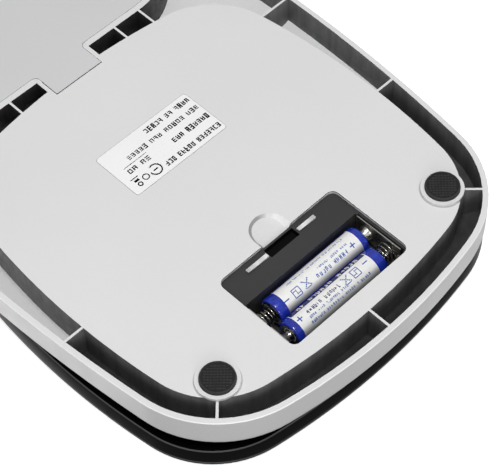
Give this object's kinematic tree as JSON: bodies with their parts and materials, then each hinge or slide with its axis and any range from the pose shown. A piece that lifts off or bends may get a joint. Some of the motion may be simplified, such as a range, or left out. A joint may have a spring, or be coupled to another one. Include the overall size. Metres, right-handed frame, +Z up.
{
  "type": "digital kitchen scale",
  "caption": "Low kitchen scale with a rounded-square weighing platform, a sloped display panel with press buttons, rubber feet and an open AAA battery bay underneath.",
  "frame": {"origin": "middle of the footprint, on the surface that the feet stand on", "axes": "+Z up through the platform, +Y from the display end to the battery end, +X to the right"},
  "size_m": [0.1652, 0.24, 0.03],
  "materials": {
    "silver_shell": "sprayed silver-grey, fine satin",
    "grey_cover": "light grey, fine satin",
    "black_cover": "black, fine grain",
    "foot_rubber": "cross-hatched",
    "screw_steel": "zinc plated",
    "label_paper": "coated",
    "tray_plastic": "black, as moulded",
    "contact_metal": "nickel plated",
    "cell_aluminium": "machined",
    "gauge_silicone": "soft",
    "board_green": "solder mask",
    "lcd_glass": "polished",
    "frame_white": "as moulded",
    "zebra_rubber": "soft",
    "window_dark": "polished, tinted",
    "lead_red": "insulated wire",
    "platform_black": "black, semi-gloss",
    "carrier_steel": "zinc plated, pressed",
    "button_silver": "sprayed silver, satin",
    "cell_wrap": "printed sleeve"
  },
  "bodies": {
    "housing": {"base_shell": "silver_shell", "display_cover": "grey_cover", "top_cover": "black_cover", "rear_left_foot": "foot_rubber", "rear_right_foot": "foot_rubber", "front_left_foot": "foot_rubber", "front_right_foot": "foot_rubber", "housing_screws": "screw_steel", "rating_label": "label_paper", "battery_tray": "tray_plastic", "bridge_contact": "contact_metal", "bridge_spring": "contact_metal", "negative_contact": "contact_metal", "negative_spring": "contact_metal", "positive_contact": "contact_metal", "load_cell": "cell_aluminium", "cell_spacer": "cell_aluminium", "base_cell_screws": "screw_steel", "strain_gauges": "gauge_silicone", "main_board": "board_green", "board_screws": "screw_steel", "lcd_glass": "lcd_glass", "lcd_frame": "frame_white", "zebra_strips": "zebra_rubber", "display_window": "window_dark", "tact_switches": "tray_plastic", "lead_sockets": "frame_white", "load_cell_lead": "lead_red", "battery_leads": "lead_red"},
    "weighing_platform": {"platform": "platform_black", "carrier": "carrier_steel", "carrier_spacer": "cell_aluminium", "carrier_cell_screws": "screw_steel", "platform_screws": "screw_steel"},
    "tare_key": {"tare_button": "button_silver"},
    "unit_key": {"unit_button": "button_silver"},
    "front_battery": {"front_cell": "cell_wrap"},
    "rear_battery": {"rear_cell": "cell_wrap"}
  },
  "joints": [
    {"name": "platform_press", "type": "slide", "parent": "housing", "child": "weighing_platform", "axis": [0, 0, -1], "range_m": [0, 0.0006], "stiffness_N_per_m": 160000, "deforming": ["load_cell"]},
    {"name": "tare_press", "type": "slide", "parent": "housing", "child": "tare_key", "axis": [0, 0.0924, -0.9957], "range_m": [0, 0.0007], "stiffness_N_per_m": 1500},
    {"name": "unit_press", "type": "slide", "parent": "housing", "child": "unit_key", "axis": [0, 0.0924, -0.9957], "range_m": [0, 0.0007], "stiffness_N_per_m": 1500},
    {"name": "front_cell_out", "type": "slide", "parent": "housing", "child": "front_battery", "axis": [0, 0, -1], "range_m": [0, 0.03]},
    {"name": "rear_cell_out", "type": "slide", "parent": "housing", "child": "rear_battery", "axis": [0, 0, -1], "range_m": [0, 0.03]}
  ]
}
